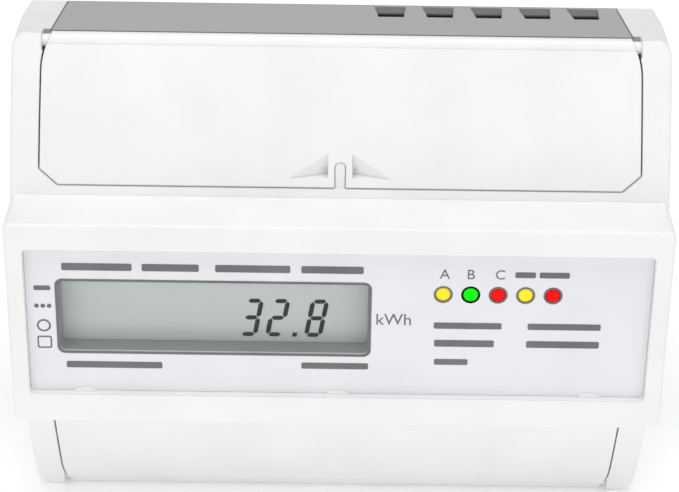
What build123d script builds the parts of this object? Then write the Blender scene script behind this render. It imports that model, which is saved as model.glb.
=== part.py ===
from build123d import *
import os
from math import atan, cos, sin

# Rail-mounted three-phase, four-wire energy meter, seven modules wide. Millimetres.
# +X is to the right seen from the front, +Y points at the rail and +Z is up.
# The origin is the middle of the pad that rests on the rail.

# ---- Envelope ---------------------------------------------------------------------------
MODULE = 18.0  # width of one rail module
FACE_W = 7 * MODULE  # bezel width
FACE_TOP_Z, FACE_LOW_Z = 21.2, -22.0  # the bezel overhangs the body a little more at its foot
FACE_H = FACE_TOP_Z - FACE_LOW_Z
FACE_Z = (FACE_TOP_Z + FACE_LOW_Z) / 2
FACE_Y = -60.0  # front of the bezel
STEP_Y = -47.3  # front of the body where the bezel stands on it
STEP_Z = 21.0
EDGE_Y = -38.3  # outer front edges of the two covers
EDGE_Z = 50.8
END_Y = -8.9  # rear edges of the sloping wire-entry faces, where the base begins
END_Z = 45.8
FOOT_Y = -4.5  # where the base's slanted sides meet its feet
FOOT_Z = 41.5
REAR_Y = 5.0
REAR_Z = 40.0
STEP_HALF_W = 63.3  # half width beside the bezel
EDGE_HALF_W = 62.4  # half width at the outer edges
CORNER_R = 3.0
EDGE_R = 0.8  # along the sides of the front
FRONT_BULGE = 0.8  # rise of the covers' curved front over its chord
WALL = 2.0
GAP = 0.3  # between pieces that move apart

# ---- Cover opening, seam and hinge ------------------------------------------------------
SEAM_Z = 22.9  # free edge of each cover opening
SEAM_FOOT, SEAM_HIP = (54.1, SEAM_Z), (57.7, 26.1)  # cut corner at each end of the free edge
SEAM_CURVE = [(57.1, 44.3), (56.5, 47.8), (55.1, 50.8)]  # upper end of each side, a curve through three points
SEAM_TOP_Z = 60.0  # past the hinge
SEAM_CORNER_R = 1.0
BAY_HALF_W = 57.8  # inside of the terminal bays
BAY_FRONT_Y = -35.0  # behind the hinge: from here the bay's mouth narrows to the wire-entry plate
CHEEK_WALL = 1.6  # inner wall of a hollow cheek
COVER_T = 1.8
HINGE_R = 1.7  # knuckle along the cover's outer edge
HINGE_Y, HINGE_Z = -37.1, 48.87
PIN_R = 1.2
PIN_BORE_R = 1.25
PIN_END_X = 58.4
PIN_BORE_X0, PIN_BORE_X1 = 55.0, 58.7
RELIEF_R, RELIEF_X = 2.7, 56.8  # hollow in each cheek, in which the end of a cover swings

# ---- Seal point at the middle of each cover's free edge ---------------------------------
LUG_HALF_W, LUG_TOP_Z, LUG_TIP_R = 0.95, 27.9, 0.85
LUG_FRONT_Y, LUG_REAR_Y = -46.2, -44.0
LUG_FIT = 0.1  # all round the lug in its slot
POST_OUT_X = 2.35  # outer sides of the two posts beside the lug
SCOOP_TIP_X, SCOOP_TOP_Z = 12.3, 36.1  # where a scoop's floor would reach the step's plane
SCOOP_Z, SCOOP_Y = 24.9, -44.0  # its lower edge, and its deepest point beside the post
SEAL_PAD_HALF_W, SEAL_PAD_TOP_Z, SEAL_PAD_T = 11.5, 30.5, 4.2
SEAL_HOLE, SEAL_HOLE_Y, SEAL_HOLE_Z, SEAL_HOLE_HALF_L = 1.2, -45.1, 25.7, 3.0

# ---- Wire-entry plates ------------------------------------------------------------------
PLATE_HALF_W = 55.15
PLATE_T = 2.2  # flush layer
PLATE_TONGUE_T = 1.3  # layer below it, tucked under the cheeks
PLATE_TONGUE_HALF_W, PLATE_TONGUE_START = 57.5, 4.0
PLATE_START, PLATE_STOP = 1.5, 29.5  # along the slope, from the front edge
SLOT_START, SLOT_HOLE_STOP, SLOT_STOP = 18.6, 26.3, 28.2
SLOT_NEAR_W, SLOT_FAR_W = 5.0, 6.3
RAMP_DEPTH, RAMP_TIP_T, RAMP_ROOT = 0.95, 0.2, 27.6  # sloping lip at the far side of a slot's hole
WIRE_HOLE, WIRE_HOLE_SIDES = 9.0, 8  # size across the flats

# ---- Bezel, label and display -----------------------------------------------------------
FACE_CORNER_R, FACE_EDGE_R = 1.2, 0.7
LABEL_W, LABEL_H, LABEL_T, LABEL_R = 119.1, 31.3, 0.5, 0.7
RECESS_W, RECESS_H, RECESS_R, LABEL_Y = 119.2, 31.4, 0.8, -58.4
SHELF_T = 1.5  # wall behind the label
BEZEL_WALL = 2.0
BEZEL_FLANGE_Y = -48.5
SPIGOT_W, SPIGOT_H, SPIGOT_R, SPIGOT_WALL, SPIGOT_END_Y = 116.8, 36.4, 1.0, 1.2, -44.0
NIB_W, NIB_H, NIB_T, NIB_PITCH = 4.6, 0.9, 0.4, 49.0
WINDOW_W, WINDOW_H, WINDOW_X, WINDOW_Z, WINDOW_R = 59.35, 15.35, -23.82, 0.78, 1.0
WINDOW_BORDER = 0.5  # by which the clear pane is larger than the window
PANE_GAP = 0.1  # between the pane and the label, both sides together
TUNNEL_WALL, TUNNEL_END_Y = 1.2, -54.2
GLASS_W, GLASS_H, GLASS_Y, GLASS_T = 65.0, 21.0, -54.0, 2.2
BACKLIGHT_W, BACKLIGHT_H = 63.0, 16.8
FRAME_GAP, FRAME_WALL = 0.1, 1.5
BOARD_T = 1.6
DISPLAY_BOARD_Y = -48.6  # its front face
DISPLAY_BOARD_W, DISPLAY_BOARD_H = 113.4, 32.8
STRIP_T, STRIP_INSET = 1.4, 0.2  # elastomer strips above and below the backlight
LED_X, LED_PITCH, LED_Z, LED_R, LED_HOLE_R = 19.9, 5.22, 6.6, 1.45, 1.75
LED_TIP_Y, LED_TIP_R = -58.5, 0.6
LED_HOLDER_Y, LED_HOLDER_H, LED_HOLDER_GAP = -56.2, 4.6, 0.1
LEDS = 5
LED_COLOURS = {"yellow_leds": (0, 3), "green_led": (1,), "red_leds": (2, 4)}

# ---- Main terminals, below --------------------------------------------------------------
TERMINALS = 8
TERMINAL_PITCH = 13.4
TERMINAL_X = [(i - (TERMINALS - 1) / 2) * TERMINAL_PITCH for i in range(TERMINALS)]
LEG_W, LEG_FRONT_Y, LEG_T = 6.0, -26.0, 2.0
LEG_END_Z, BRIDGE_TOP_Z = -39.0, 9.0
NOTCH_GAP = 0.5  # round a busbar or a contact where it crosses the housing's partition
SENSE_LEAD_R = 0.6
WIRE_Y = -19.2
BLOCK_FRONT_Y, BLOCK_REAR_Y = -38.3, -11.0
BLOCK_TOP_Z, BLOCK_LOW_Z, BLOCK_HALF_W = -24.5, -41.5, 54.6
CHAMBER_HALF_W, CHAMBER_FRONT_Y, CHAMBER_REAR_Y, CHAMBER_TOP_Z = 5.9, -34.9, -12.3, -27.5
SCREW_Z, SCREW_HOLE = -34.5, 8.4
CAGE_HALF_W, CAGE_H, CAGE_FRONT_Y, CAGE_REAR_Y = 5.5, 9.0, -29.0, -13.0
CAGE_SIDE_T, CAGE_FRONT_T, CAGE_REAR_T, CAGE_EDGE_R = 1.4, 2.4, 1.5, 0.8
SCREW_R, SCREW_BORE_R, HEAD_R, HEAD_EDGE_R = 2.95, 3.0, 3.9, 0.4
CROSS_L, CROSS_W, CROSS_DEPTH = 5.6, 1.1, 1.6
HEAD_FRONT_Y, HEAD_REAR_Y, SCREW_TIP_Y = -37.8, -35.0, -26.3

# ---- Auxiliary terminals, above ---------------------------------------------------------
AUX_PITCH = 9.65
AUX_X = [AUX_PITCH * k for k in range(1, 6)]
AUX_BLOCK_X0, AUX_BLOCK_X1 = 4.2, 53.7
AUX_BLOCK_FRONT_Y, AUX_BLOCK_REAR_Y, AUX_BLOCK_Z0, AUX_BLOCK_Z1 = -30.2, -12.5, 27.0, 41.0
AUX_CHAMBER_HALF_W, AUX_CHAMBER_FRONT_Y, AUX_CHAMBER_REAR_Y, AUX_CHAMBER_Z = 3.95, -27.6, -13.6, 29.0
AUX_SCREW_Z, AUX_SCREW_HOLE = 34.0, 5.4
STOP_HALF_W, STOP_FRONT_Y, STOP_REAR_Y, STOP_TOP_Z = 2.6, -13.2, -12.7, 45.5  # tab behind each wire
AUX_CAGE_HALF_W, AUX_CAGE_H, AUX_CAGE_FRONT_Y, AUX_CAGE_REAR_Y = 3.6, 7.0, -24.2, -14.2
AUX_CAGE_SIDE_T, AUX_CAGE_FRONT_T, AUX_CAGE_REAR_T, AUX_CAGE_EDGE_R = 1.0, 2.2, 1.1, 0.5
AUX_SCREW_R, AUX_SCREW_BORE_R, AUX_HEAD_R, AUX_HEAD_EDGE_R = 1.45, 1.5, 2.4, 0.3
AUX_SLOT_HALF_L, AUX_SLOT_HALF_W, AUX_SLOT_DEPTH = 1.9, 0.35, 1.1
AUX_HEAD_FRONT_Y, AUX_HEAD_REAR_Y, AUX_SCREW_TIP_Y = -29.7, -27.7, -21.6
CONTACT_W, CONTACT_FRONT_Y, CONTACT_T, CONTACT_LOW_Z, CONTACT_TOP_Z = 2.4, -21.2, 0.8, 12.0, 38.0

# ---- Electronics ------------------------------------------------------------------------
CAVITY_Z = 21.2
MAIN_BOARD_Y = -13.0  # its front face
MAIN_BOARD_W, MAIN_BOARD_H = 121.6, 41.6
BOSS_X, BOSS_Z, BOSS_R, BOSS_FRONT_Y = 58.3, 15.0, 3.2, -43.5
PILOT_R, PILOT_DEPTH = 1.55, 18.0
POST_R = 2.9  # of the base's posts, which meet the bosses through the board
SCREW_CLEAR_R = 1.7
HOUSING_SCREW_R, HOUSING_SCREW_L = 1.5, 25.0
HOUSING_HEAD_R, HOUSING_HEAD_T = 2.6, 1.8
HOUSING_CROSS_L, HOUSING_CROSS_W, HOUSING_CROSS_DEPTH = 3.2, 0.7, 1.0
COUNTERBORE_R, COUNTERBORE_DEPTH = 2.8, 2.2
CT_R, CT_HOLE_R, CT_LOW_Z, CT_H, CT_EDGE_R = 10.0, 4.2, -11.5, 9.0, 0.6
CT_X = TERMINAL_X[0:6:2]
RIBBON_X, RIBBON_Z, RIBBON_W, RIBBON_T = 52.0, 3.0, 7.0, 1.0
HEADER_W, HEADER_H, HEADER_T = 9.0, 5.0, 6.0
FILM_X = (-46.0, -28.0, -10.0)
FILM_HALF_W, FILM_FRONT_Y, FILM_Z0, FILM_Z1, FILM_EDGE_R = 8.0, -25.0, 11.0, 19.0, 0.8
CAN_PLACES, CAN_R, CAN_H, CAN_EDGE_R = [(28.5, 4.0), (41.0, -1.0)], 4.6, 10.0, 0.5
CHIPS = [(34.0, -11.0, 12.0, 10.0), (47.5, -12.0, 7.0, 6.0), (-28.0, 4.0, 8.0, 5.0)]  # x, z, width, height
CHIP_T = 1.6
OPTO_HALF_W, OPTO_T, OPTO_Z0, OPTO_Z1 = 2.3, 3.5, 14.5, 19.5

# ---- Base, rail channel and clips -------------------------------------------------------
CHANNEL_Z = 17.9
FLOOR_Y = -0.4
FLOOR_T = 2.0
PAD_HALF_W, PAD_HALF_H = 50.0, 15.2
LIP_Y0, LIP_Y1, LIP_Z = 1.3, 3.2, 15.5
FOOT_INNER_Z, FOOT_OUTER_Z, FOOT_FLOOR_Y = 19.9, 38.0, 3.0
BASE_CAVITY_HALF_W = 60.6
CLIP_X = 30.0
GUIDE_HALF_W, GUIDE_LAP = 9.0, 1.0  # the lap is into the foot's wall
CLIP_HALF_W, CLIP_NECK_HALF_W = 6.1, 4.1
CLIP_Y0, CLIP_Y1, CLIP_Y2 = 1.2, 2.8, 4.7
CLIP_LIP_Z, CLIP_LEAD, CLIP_LOW_Z = -15.5, 1.0, -39.5
TAB_TOP_Z, TAB_LOW_Z, TAB_HALF_W = -40.5, -46.0, 5.0
TAB_SLOT_Z0, TAB_SLOT_Z1, TAB_SLOT_HALF_W = -44.5, -42.9, 2.5
SPRING_TOP_Z, SPRING_LOW_Z, SPRING_R, SPRING_WIRE_R, SPRING_TURNS = -24.0, -34.0, 1.2, 0.25, 7
SPRING_POST_T, SPRING_POST_HALF_W, SPRING_POST_Y = 2.0, 1.5, 4.3
SPRING_WINDOW_HALF_W = 1.9
RIB_X = (-50.0, -TERMINAL_PITCH, TERMINAL_PITCH, 50.0)
RIB_HALF_T, RIB_TOP_Z = 1.0, -25.0

END_SLOPE = (EDGE_Z - END_Z) / (END_Y - EDGE_Y)
END_COS, END_SIN = cos(atan(END_SLOPE)), sin(atan(END_SLOPE))


def at_y(y):
    """Plane facing the front at a depth: its sketches are in X and Z, and it extrudes forwards."""
    return Plane.XZ.offset(-y)


def on_end(x=0.0):
    """Plane across the upper wire-entry face: x runs back along the slope, y points out of it."""
    return Plane(origin=(x, EDGE_Y, EDGE_Z), x_dir=(0, END_COS, -END_SIN), z_dir=(1, 0, 0))


def end_z(y):
    """Height of the upper wire-entry face at a depth."""
    return EDGE_Z - END_SLOPE * (y - EDGE_Y)


def body_section(rear_y=END_Y):
    """Side outline of the housing, symmetric above and below."""
    chord = Vector(EDGE_Y - STEP_Y, EDGE_Z - STEP_Z)
    middle = Vector((EDGE_Y + STEP_Y) / 2, (EDGE_Z + STEP_Z) / 2)
    crown = middle + Vector(-chord.Y, chord.X).normalized() * FRONT_BULGE
    with BuildSketch(Plane.XY) as section:
        with BuildLine():
            Line((STEP_Y, 0), (STEP_Y, STEP_Z))
            ThreePointArc((STEP_Y, STEP_Z), crown, (EDGE_Y, EDGE_Z))
            Line((EDGE_Y, EDGE_Z), (rear_y, end_z(rear_y)))
            Line((rear_y, end_z(rear_y)), (rear_y, 0))
            mirror(about=Plane.XZ)
        make_face()
    return section.sketch


def body_outline():
    """Front outline of the housing: its sides draw in slightly away from the bezel."""
    right = [(EDGE_HALF_W, -EDGE_Z), (STEP_HALF_W, -STEP_Z), (STEP_HALF_W, STEP_Z), (EDGE_HALF_W, EDGE_Z)]
    left = [(-x, z) for x, z in reversed(right)]
    with BuildSketch(Plane.XY) as outline:
        with BuildLine():
            Polyline(*right, *left, close=True)
        make_face()
        rows = outline.vertices().group_by(Axis.Y)
        fillet(rows[0] + rows[-1], CORNER_R)
    return outline.sketch


def seam_outline(gap=0.0):
    """Front outline of the upper cover opening, drawn in by a gap."""
    end_x = SEAM_CURVE[-1][0]
    with BuildSketch(Plane.XY) as outline:
        with BuildLine():
            Polyline((0, SEAM_Z), SEAM_FOOT, SEAM_HIP, SEAM_CURVE[0])
            ThreePointArc(*SEAM_CURVE)
            Polyline(SEAM_CURVE[-1], (end_x, SEAM_TOP_Z), (0, SEAM_TOP_Z))
            mirror(about=Plane.YZ)
        make_face()
        fillet(outline.vertices().filter_by(lambda corner: corner.Y < SEAM_HIP[1] + GAP), SEAM_CORNER_R)
        if gap:
            offset(amount=-gap, kind=Kind.INTERSECTION)
    return outline.sketch


def lug_outline(side, fit=0.0):
    """Front outline of a seal lug, rounded at its tip, or of the slot that it fits."""
    top_z = LUG_TOP_Z + fit
    with BuildSketch(Plane.XY) as outline:
        with Locations((0, side * (CAVITY_Z + top_z) / 2)):
            Rectangle(2 * (LUG_HALF_W + fit), top_z - CAVITY_Z)
        tips = outline.vertices().group_by(Axis.Y)[-1 if side > 0 else 0]
        fillet(tips, LUG_TIP_R + fit)
    return outline.sketch


def front_skin(thickness, low_z, high_z):
    """Side section of the curved front, from one height to another."""
    with BuildSketch(Plane.XY) as skin:
        add(body_section())
        offset(body_section(), amount=-thickness, kind=Kind.INTERSECTION, mode=Mode.SUBTRACT)
        with Locations((STEP_Y, (low_z + high_z) / 2)):
            Rectangle(2 * (HINGE_Y - STEP_Y), high_z - low_z, mode=Mode.INTERSECT)
    return skin.sketch


def slab(x0, x1, y0, y1, z0, z1, mode=Mode.ADD):
    """A box given by its limits."""
    with Locations(((x0 + x1) / 2, (y0 + y1) / 2, (z0 + z1) / 2)):
        Box(x1 - x0, y1 - y0, z1 - z0, mode=mode)


def save(piece, name):
    """Label a finished piece and write it."""
    piece.part.label = name
    export_step(piece.part, f"parts/{name}.step")


os.makedirs("parts", exist_ok=True)

# ---- Front shell: cheeks, collar under the bezel, partitions and seal lugs --------------
# The hollow of the upper terminal bay; the lower bay is its mirror image.
with BuildPart() as terminal_bay:
    with BuildSketch(at_y(BAY_FRONT_Y)):
        add(seam_outline())
    extrude(amount=STEP_HALF_W)
    under_lip = PLATE_T + GAP / 2
    with BuildSketch(Plane.YZ):
        with BuildLine():
            Polyline(
                (BAY_FRONT_Y, SEAM_Z),
                (BAY_FRONT_Y, end_z(BAY_FRONT_Y) - under_lip),
                (END_Y, end_z(END_Y) - under_lip),
                (END_Y, SEAM_Z),
                close=True,
            )
        make_face()
    extrude(amount=BAY_HALF_W, both=True)
    slab(-PLATE_HALF_W - GAP, PLATE_HALF_W + GAP, BAY_FRONT_Y, END_Y, END_Z - under_lip, EDGE_Z)

with BuildPart() as front_shell:
    with BuildSketch(Plane.YZ):
        add(body_section())
    extrude(amount=STEP_HALF_W, both=True)
    with BuildSketch(at_y(END_Y)):
        add(body_outline())
    extrude(amount=-FACE_Y, mode=Mode.INTERSECT)
    # Rounded edges down both sides of the curved front
    bulged = front_shell.faces().filter_by(lambda face: face.center().Y < EDGE_Y)
    side_edges = bulged.edges().filter_by(lambda edge: abs(edge.center().X) > EDGE_HALF_W - CORNER_R)
    fillet(side_edges, EDGE_R)
    # Electronics cavity, and the opening that the bezel's spigot enters
    with BuildSketch(at_y(END_Y)):
        Rectangle(2 * (STEP_HALF_W - WALL), 2 * CAVITY_Z)
    extrude(amount=END_Y - STEP_Y - WALL, mode=Mode.SUBTRACT)
    with BuildSketch(at_y(STEP_Y + WALL)):
        Rectangle(SPIGOT_W + GAP, SPIGOT_H + GAP)
    extrude(amount=2 * WALL, mode=Mode.SUBTRACT)
    # Terminal bays, then the hollows inside the cheeks, open at the rear
    add(terminal_bay.part, mode=Mode.SUBTRACT)
    mirror(terminal_bay.part, about=Plane.XY, mode=Mode.SUBTRACT)
    cheek_inner = BAY_HALF_W + CHEEK_WALL
    cheek_outer = STEP_HALF_W - WALL
    for side in (-1, 1):
        with BuildSketch(Plane.YZ.offset(side * (cheek_inner + cheek_outer) / 2)):
            offset(body_section(END_Y + 2 * WALL), amount=-WALL, kind=Kind.INTERSECTION)
        extrude(amount=(cheek_outer - cheek_inner) / 2, both=True, mode=Mode.SUBTRACT)
    # Slots open at the rear, where the busbars and the auxiliary contacts cross the partitions
    for x in TERMINAL_X:
        slab(x - LEG_W / 2 - NOTCH_GAP, x + LEG_W / 2 + NOTCH_GAP, LEG_FRONT_Y - NOTCH_GAP, END_Y,
             -SEAM_Z, -CAVITY_Z, Mode.SUBTRACT)
    for x in AUX_X:
        slab(x - CONTACT_W / 2 - NOTCH_GAP, x + CONTACT_W / 2 + NOTCH_GAP, CONTACT_FRONT_Y - NOTCH_GAP, END_Y,
             CAVITY_Z, SEAM_Z, Mode.SUBTRACT)
    # Bosses for the housing screws, standing on the side walls
    with BuildSketch(at_y(MAIN_BOARD_Y)):
        with GridLocations(2 * BOSS_X, 2 * BOSS_Z, 2, 2):
            Circle(BOSS_R)
    extrude(amount=MAIN_BOARD_Y - BOSS_FRONT_Y)
    with BuildSketch(at_y(MAIN_BOARD_Y)):
        with GridLocations(2 * BOSS_X, 2 * BOSS_Z, 2, 2):
            Circle(PILOT_R)
    extrude(amount=PILOT_DEPTH, mode=Mode.SUBTRACT)
    # Seal lugs, rounded at the tip
    for side in (-1, 1):
        with BuildSketch(at_y(LUG_REAR_Y)):
            add(lug_outline(side))
        extrude(amount=LUG_REAR_Y - LUG_FRONT_Y)
        slab(-SEAL_HOLE_HALF_L, SEAL_HOLE_HALF_L, SEAL_HOLE_Y - SEAL_HOLE / 2, SEAL_HOLE_Y + SEAL_HOLE / 2,
             side * SEAL_HOLE_Z - SEAL_HOLE / 2, side * SEAL_HOLE_Z + SEAL_HOLE / 2, Mode.SUBTRACT)
    # Reliefs in which the ends of the covers swing, and bores for their hinge pins
    for side in (-1, 1):
        with Locations((0, HINGE_Y, side * HINGE_Z)):
            Cylinder(RELIEF_R, 2 * RELIEF_X, rotation=(0, 90, 0), mode=Mode.SUBTRACT)
    for side in (-1, 1):
        for x in (-(PIN_BORE_X0 + PIN_BORE_X1) / 2, (PIN_BORE_X0 + PIN_BORE_X1) / 2):
            with Locations((x, HINGE_Y, side * HINGE_Z)):
                Cylinder(PIN_BORE_R, PIN_BORE_X1 - PIN_BORE_X0, rotation=(0, 90, 0), mode=Mode.SUBTRACT)
save(front_shell, "front_shell")

# ---- Covers -----------------------------------------------------------------------------
# One finger scoop: its floor slopes in from the tip and from the top, down to the post's foot.
with BuildPart() as finger_scoop:
    slab(POST_OUT_X, SCOOP_TIP_X, STEP_Y, SCOOP_Y, SCOOP_Z, SCOOP_TOP_Z)
    tip = Vector(SCOOP_TIP_X, STEP_Y, SCOOP_Z)
    top = Vector(POST_OUT_X, STEP_Y, SCOOP_TOP_Z)
    deep = Vector(POST_OUT_X, SCOOP_Y, SCOOP_Z)
    split(bisect_by=Plane(origin=tip, z_dir=(deep - tip).cross(top - tip)), keep=Keep.BOTTOM)

with BuildPart() as upper_cover:
    with BuildSketch(Plane.YZ):
        add(front_skin(COVER_T, SEAM_Z, HINGE_Z))
        with Locations((HINGE_Y, HINGE_Z)):
            Circle(HINGE_R)
    extrude(amount=BAY_HALF_W, both=True)
    with BuildSketch(Plane.YZ):
        add(front_skin(SEAL_PAD_T, SEAM_Z, SEAL_PAD_TOP_Z))
    extrude(amount=SEAL_PAD_HALF_W, both=True)
    with BuildSketch(at_y(END_Y)):
        add(seam_outline(GAP))
    extrude(amount=-FACE_Y, mode=Mode.INTERSECT)
    # Finger scoops beside the two posts, the slot for the shell's lug, and the hole for the seal
    add(finger_scoop.part, mode=Mode.SUBTRACT)
    mirror(finger_scoop.part, about=Plane.YZ, mode=Mode.SUBTRACT)
    with BuildSketch(at_y(BAY_FRONT_Y)):
        add(lug_outline(1, LUG_FIT))
    extrude(amount=BAY_FRONT_Y - STEP_Y, mode=Mode.SUBTRACT)
    slab(-SEAL_HOLE_HALF_L, SEAL_HOLE_HALF_L, SEAL_HOLE_Y - SEAL_HOLE / 2, SEAL_HOLE_Y + SEAL_HOLE / 2,
         SEAL_HOLE_Z - SEAL_HOLE / 2, SEAL_HOLE_Z + SEAL_HOLE / 2, Mode.SUBTRACT)
    with Locations((0, HINGE_Y, HINGE_Z)):
        Cylinder(PIN_R, 2 * PIN_END_X, rotation=(0, 90, 0))
save(upper_cover, "upper_cover")

with BuildPart() as lower_cover:
    mirror(upper_cover.part, about=Plane.XY)
save(lower_cover, "lower_cover")

# ---- Wire-entry plates ------------------------------------------------------------------
with BuildPart() as plain_plate:
    with BuildSketch(on_end()):
        with Locations(((PLATE_START + PLATE_STOP) / 2, -PLATE_T / 2)):
            Rectangle(PLATE_STOP - PLATE_START, PLATE_T)
    extrude(amount=PLATE_HALF_W, both=True)
    with BuildSketch(on_end()):
        with Locations(((PLATE_TONGUE_START + PLATE_STOP) / 2, -PLATE_T - GAP / 2 - PLATE_TONGUE_T / 2)):
            Rectangle(PLATE_STOP - PLATE_TONGUE_START, PLATE_TONGUE_T + GAP)
    extrude(amount=PLATE_HALF_W, both=True)
    with BuildSketch(on_end()):
        with Locations(((PLATE_TONGUE_START + PLATE_STOP) / 2, -PLATE_T - GAP - PLATE_TONGUE_T / 2)):
            Rectangle(PLATE_STOP - PLATE_TONGUE_START, PLATE_TONGUE_T)
    extrude(amount=PLATE_TONGUE_HALF_W, both=True)
    with Locations((0, HINGE_Y, HINGE_Z)):
        Cylinder(HINGE_R + GAP, 2 * BAY_HALF_W, rotation=(0, 90, 0), mode=Mode.SUBTRACT)

with BuildPart() as upper_wire_plate:
    add(plain_plate.part)
    plate_depth = PLATE_T + GAP + PLATE_TONGUE_T
    for x in AUX_X:
        # Plan of the slot, in X and along the slope, wider at its far side
        with BuildSketch(Plane(origin=(x, EDGE_Y, EDGE_Z), x_dir=(1, 0, 0), z_dir=(0, END_SIN, END_COS))):
            with BuildLine():
                Polyline(
                    (-SLOT_NEAR_W / 2, SLOT_START),
                    (SLOT_NEAR_W / 2, SLOT_START),
                    (SLOT_FAR_W / 2, SLOT_STOP),
                    (-SLOT_FAR_W / 2, SLOT_STOP),
                    close=True,
                )
            make_face()
        extrude(amount=-plate_depth, mode=Mode.SUBTRACT)
        # Sloping lip that leads a wire into the hole
        with BuildSketch(on_end(x)):
            with BuildLine():
                Polyline(
                    (SLOT_HOLE_STOP, -RAMP_DEPTH),
                    (SLOT_STOP, 0),
                    (SLOT_STOP, -plate_depth),
                    (RAMP_ROOT, -plate_depth),
                    (RAMP_ROOT, -RAMP_DEPTH - RAMP_TIP_T),
                    (SLOT_HOLE_STOP, -RAMP_DEPTH - RAMP_TIP_T),
                    close=True,
                )
            make_face()
        extrude(amount=SLOT_FAR_W / 2, both=True)
save(upper_wire_plate, "upper_wire_plate")

with BuildPart() as lower_wire_plate:
    mirror(plain_plate.part, about=Plane.XY)
    with BuildSketch(Plane.XY.offset(-EDGE_Z)):
        with Locations(*[(x, WIRE_Y) for x in TERMINAL_X]):
            RegularPolygon(WIRE_HOLE / 2, WIRE_HOLE_SIDES, major_radius=False, rotation=180 / WIRE_HOLE_SIDES)
    extrude(amount=EDGE_Z - REAR_Z, mode=Mode.SUBTRACT)
save(lower_wire_plate, "lower_wire_plate")

# ---- Bezel and label --------------------------------------------------------------------
with BuildPart() as front_bezel:
    with BuildSketch(at_y(STEP_Y)):
        with Locations((0, FACE_Z)):
            RectangleRounded(FACE_W, FACE_H, FACE_CORNER_R)
    extrude(amount=STEP_Y - FACE_Y)
    fillet(front_bezel.faces().sort_by(Axis.Y)[0].edges(), FACE_EDGE_R)
    # Spigot behind it
    with BuildSketch(at_y(SPIGOT_END_Y)):
        RectangleRounded(SPIGOT_W, SPIGOT_H, SPIGOT_R)
    extrude(amount=SPIGOT_END_Y - STEP_Y)
    # Recess for the label, the hollow behind its shelf, and the spigot's hollow
    with BuildSketch(at_y(LABEL_Y + LABEL_T)):
        RectangleRounded(RECESS_W, RECESS_H, RECESS_R)
    extrude(amount=LABEL_Y + LABEL_T - FACE_Y, mode=Mode.SUBTRACT)
    shelf_rear_y = LABEL_Y + LABEL_T + SHELF_T
    with BuildSketch(at_y(BEZEL_FLANGE_Y)):
        with Locations((0, FACE_Z)):
            Rectangle(FACE_W - 2 * BEZEL_WALL, FACE_H - 2 * BEZEL_WALL)
    extrude(amount=BEZEL_FLANGE_Y - shelf_rear_y, mode=Mode.SUBTRACT)
    with BuildSketch(at_y(SPIGOT_END_Y)):
        Rectangle(SPIGOT_W - 2 * SPIGOT_WALL, SPIGOT_H - 2 * SPIGOT_WALL)
    extrude(amount=SPIGOT_END_Y - BEZEL_FLANGE_Y, mode=Mode.SUBTRACT)
    # Tunnel from the shelf back to the display glass
    with BuildSketch(at_y(TUNNEL_END_Y)):
        with Locations((WINDOW_X, WINDOW_Z)):
            Rectangle(WINDOW_W + 2 * TUNNEL_WALL, WINDOW_H + 2 * TUNNEL_WALL)
    extrude(amount=TUNNEL_END_Y - shelf_rear_y)
    with BuildSketch(at_y(TUNNEL_END_Y)):
        with Locations((WINDOW_X, WINDOW_Z)):
            RectangleRounded(WINDOW_W, WINDOW_H, WINDOW_R)
        with Locations(*[(LED_X + i * LED_PITCH, LED_Z) for i in range(LEDS)]):
            Circle(LED_HOLE_R)
    extrude(amount=TUNNEL_END_Y - LABEL_Y, mode=Mode.SUBTRACT)
    # Nibs that hold the label's lower edge
    for i in (-1, 0, 1):
        with BuildSketch(at_y(LABEL_Y)):
            with Locations((i * NIB_PITCH, -RECESS_H / 2)):
                Ellipse(NIB_W / 2, NIB_H)
        extrude(amount=NIB_T)
save(front_bezel, "front_bezel")

with BuildPart() as label_panel:
    with BuildSketch(at_y(LABEL_Y + LABEL_T)):
        RectangleRounded(LABEL_W, LABEL_H, LABEL_R)
        with Locations((WINDOW_X, WINDOW_Z)):
            opening_w = WINDOW_W + 2 * WINDOW_BORDER
            opening_h = WINDOW_H + 2 * WINDOW_BORDER
            RectangleRounded(opening_w, opening_h, WINDOW_R + WINDOW_BORDER, mode=Mode.SUBTRACT)
        with Locations(*[(LED_X + i * LED_PITCH, LED_Z) for i in range(LEDS)]):
            Circle(LED_HOLE_R, mode=Mode.SUBTRACT)
    extrude(amount=LABEL_T)
save(label_panel, "label_panel")

with BuildPart() as display_window:
    with BuildSketch(at_y(LABEL_Y + LABEL_T)):
        with Locations((WINDOW_X, WINDOW_Z)):
            RectangleRounded(opening_w - PANE_GAP, opening_h - PANE_GAP, WINDOW_R + WINDOW_BORDER)
    extrude(amount=LABEL_T)
save(display_window, "display_window")

# ---- Display stack ----------------------------------------------------------------------
with BuildPart() as lcd_glass:
    with BuildSketch(at_y(GLASS_Y + GLASS_T)):
        with Locations((WINDOW_X, WINDOW_Z)):
            Rectangle(GLASS_W, GLASS_H)
    extrude(amount=GLASS_T)
save(lcd_glass, "lcd_glass")

with BuildPart() as lcd_backlight:
    with BuildSketch(at_y(DISPLAY_BOARD_Y)):
        with Locations((WINDOW_X, WINDOW_Z)):
            Rectangle(BACKLIGHT_W, BACKLIGHT_H)
    extrude(amount=DISPLAY_BOARD_Y - GLASS_Y - GLASS_T)
save(lcd_backlight, "lcd_backlight")

with BuildPart() as elastomer_connectors:
    strip_z = (GLASS_H - STRIP_T) / 2 - STRIP_INSET
    with BuildSketch(at_y(DISPLAY_BOARD_Y)):
        with Locations((WINDOW_X, WINDOW_Z - strip_z), (WINDOW_X, WINDOW_Z + strip_z)):
            Rectangle(BACKLIGHT_W, STRIP_T)
    extrude(amount=DISPLAY_BOARD_Y - GLASS_Y - GLASS_T)
save(elastomer_connectors, "elastomer_connectors")

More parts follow.
